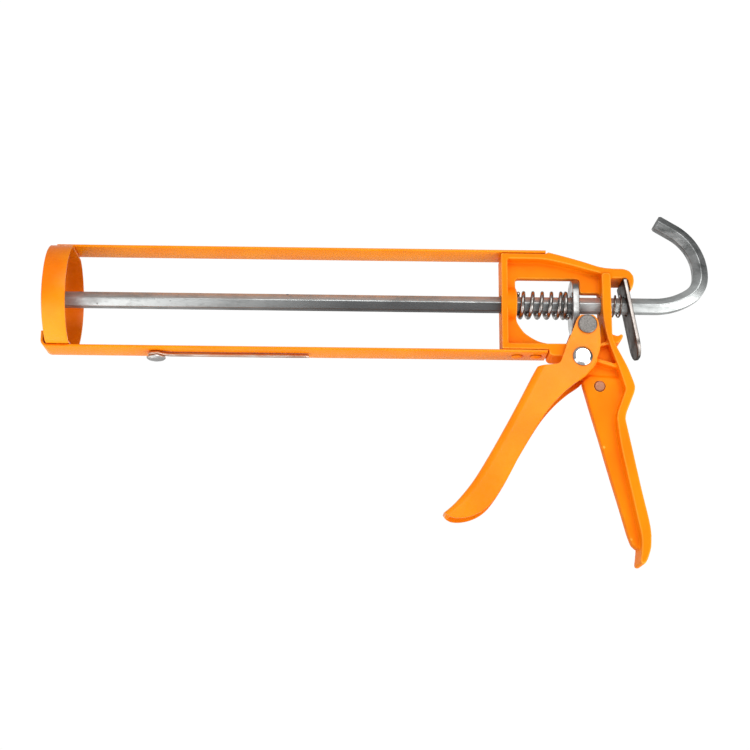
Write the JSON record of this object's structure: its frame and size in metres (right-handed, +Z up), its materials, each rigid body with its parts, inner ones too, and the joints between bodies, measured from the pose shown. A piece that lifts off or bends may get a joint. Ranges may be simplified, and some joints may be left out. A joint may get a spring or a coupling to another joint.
{
  "type": "caulking gun",
  "caption": "Hand caulking gun with a strap cradle, a hexagonal hooked rod, a pressed trigger, a cast handle and a thumb release plate.",
  "frame": {"origin": "in the handle, where the hand closes on it", "axes": "+X back along the rod from the nose to the hook, +Z up, the handle hangs towards -Z, y = 0 is the plane of symmetry"},
  "size_m": [0.3359, 0.0548, 0.18],
  "materials": {
    "orange_paint": "glossy orange paint over die-cast and pressed metal",
    "zinc_plate": "bright zinc plating with dull grey patches",
    "plate_steel": "plated spring steel, darker and worn",
    "grey_steel": "matt grey rivet steel",
    "bright_steel": "turned and polished end face",
    "spring_steel": "dark oiled spring wire",
    "coppered_wire": "coppered steel wire, partly worn"
  },
  "bodies": {
    "frame": {"body_casting": "orange_paint", "front_ring": "orange_paint", "top_strap": "orange_paint", "bottom_strap": "orange_paint", "top_strap_rivet_front": "orange_paint", "top_strap_rivet_rear": "orange_paint", "bottom_strap_rivet_front": "orange_paint", "bottom_strap_rivet_rear": "orange_paint", "piercer_rivet": "grey_steel", "handle_dowel": "grey_steel", "main_spring": "spring_steel", "release_spring": "spring_steel"},
    "piston": {"piston_disc": "zinc_plate", "piston_washer": "zinc_plate"},
    "rod": {"plunger_rod": "zinc_plate", "piston_nut": "zinc_plate"},
    "drive_plate": {"drive_plate": "zinc_plate"},
    "release_plate": {"release_plate": "plate_steel"},
    "trigger": {"trigger": "orange_paint", "pivot_pin": "bright_steel", "drive_pin": "grey_steel"},
    "roller": {"drive_roller": "grey_steel"},
    "piercer": {"piercing_wire": "coppered_wire"}
  },
  "joints": [
    {"name": "piston_slide", "type": "slide", "parent": "frame", "child": "piston", "axis": [1, 0, 0], "range_m": [0, 0.22]},
    {"name": "rod_turn", "type": "hinge", "parent": "piston", "child": "rod", "pos_m": [-0.121, 0, 0.075], "axis": [1, 0, 0], "continuous": true},
    {"name": "trigger_squeeze", "type": "hinge", "parent": "frame", "child": "trigger", "pos_m": [-0.0187, 0, 0.0456], "axis": [0, -1, 0], "range_deg": [0, 35], "stiffness_Nm_per_rad": 1, "springref_deg": -28.65, "deforming": ["main_spring"]},
    {"name": "plate_push", "type": "slide", "parent": "frame", "child": "drive_plate", "axis": [-1, 0, 0], "range_m": [0, 0.0101]},
    {"name": "release_tilt", "type": "hinge", "parent": "frame", "child": "release_plate", "pos_m": [0.0039, 0, 0.0867], "axis": [0, 1, 0], "range_deg": [0, 9.3], "stiffness_Nm_per_rad": 0.1, "springref_deg": -11.46, "deforming": ["release_spring"]},
    {"name": "piercer_swing", "type": "hinge", "parent": "frame", "child": "piercer", "pos_m": [-0.2305, 0, 0.047], "axis": [0, 0, 1], "range_deg": [0, 180]},
    {"name": "roller_spin", "type": "hinge", "parent": "trigger", "child": "roller", "pos_m": [-0.0159, 0, 0.0621], "axis": [0, 1, 0], "continuous": true}
  ],
  "couplings": [
    {"joint": "plate_push", "follows": "trigger_squeeze", "m_per_rad": 0.0165}
  ]
}
